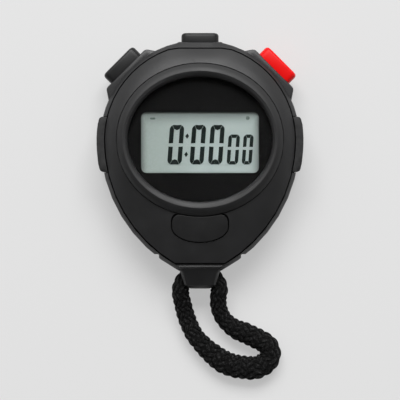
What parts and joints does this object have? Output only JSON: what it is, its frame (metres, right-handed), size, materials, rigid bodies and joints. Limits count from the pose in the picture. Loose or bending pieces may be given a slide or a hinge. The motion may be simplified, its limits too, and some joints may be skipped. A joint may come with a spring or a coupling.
{
  "type": "digital handheld stopwatch",
  "caption": "Pear-shaped handheld digital stopwatch with an oval display, sprung push buttons at the top, a front button, rubber side grips and a short loop of cord.",
  "frame": {"origin": "on the flat back face, under the centre of the case's upper arc (the dial centre)", "axes": "+Z out of the dial, from the back face that it lies on; +Y from the cord lug to the top pusher; +X to the right as the dial is read"},
  "size_m": [0.064, 0.1074, 0.0189],
  "materials": {
    "case_plastic": "fine satin",
    "front_plastic": "fine satin",
    "cap_plastic": "satin",
    "button_plastic": "satin",
    "red_plastic": "semi-gloss",
    "ring_plastic": "semi-gloss",
    "grip_rubber": "matte",
    "clear_plastic": "clear, polished",
    "mask_ink": "printed black",
    "display_glass": "grey-green reflective display",
    "white_plastic": "matte",
    "grey_rubber": "matte",
    "board_green": "glass-fibre laminate with lacquer",
    "chip_resin": "glossy resin",
    "steel": "plain bright steel",
    "brass": "plain",
    "sounder_ceramic": "silvered ceramic",
    "cord_braid": "tightly braided nylon",
    "splice_band": "melted nylon band"
  },
  "bodies": {
    "case": {"rear_cover": "case_plastic", "front_cover": "front_plastic", "bezel_ring": "ring_plastic", "lens": "clear_plastic", "display_mask": "mask_ink", "lcd_panel": "display_glass", "lcd_holder": "white_plastic", "zebra_upper": "grey_rubber", "zebra_lower": "grey_rubber", "case_gasket": "grey_rubber", "main_board": "board_green", "controller_blob": "chip_resin", "quartz_crystal": "steel", "battery": "steel", "battery_clip": "steel", "battery_leaf": "brass", "buzzer_plate": "brass", "buzzer_ceramic": "sounder_ceramic", "buzzer_spring": "steel", "right_pusher_spring": "steel", "left_pusher_spring": "steel", "top_pusher_spring": "steel", "right_contact": "brass", "left_contact": "brass", "top_contact": "brass", "button_dome": "grey_rubber", "grip_left": "grip_rubber", "grip_right": "grip_rubber", "case_screw_top_right": "steel", "case_screw_top_left": "steel", "case_screw_low_right": "steel", "case_screw_low_left": "steel", "board_screw_1": "steel", "board_screw_2": "steel", "board_screw_3": "steel", "lanyard_cord": "cord_braid", "cord_splice": "splice_band"},
    "right_button": {"right_pusher": "red_plastic", "right_pusher_seal": "grey_rubber", "right_pusher_clip": "steel"},
    "left_button": {"left_pusher": "cap_plastic", "left_pusher_seal": "grey_rubber", "left_pusher_clip": "steel"},
    "top_button": {"top_pusher": "cap_plastic", "top_pusher_seal": "grey_rubber", "top_pusher_clip": "steel"},
    "mode_button": {"front_button": "button_plastic"}
  },
  "joints": [
    {"name": "right_press", "type": "slide", "parent": "case", "child": "right_button", "axis": [-0.7071, -0.7071, 0], "range_m": [0, 0.0008], "stiffness_N_per_m": 500, "springref_m": -0.0015, "deforming": ["right_pusher_spring"]},
    {"name": "left_press", "type": "slide", "parent": "case", "child": "left_button", "axis": [0.7071, -0.7071, 0], "range_m": [0, 0.0008], "stiffness_N_per_m": 500, "springref_m": -0.0015, "deforming": ["left_pusher_spring"]},
    {"name": "top_press", "type": "slide", "parent": "case", "child": "top_button", "axis": [0, -1, 0], "range_m": [0, 0.0008], "stiffness_N_per_m": 500, "springref_m": -0.0015, "deforming": ["top_pusher_spring"]},
    {"name": "front_press", "type": "slide", "parent": "case", "child": "mode_button", "axis": [0, 0, -1], "range_m": [0, 0.0006], "stiffness_N_per_m": 400, "springref_m": -0.0012, "deforming": ["button_dome"]}
  ]
}
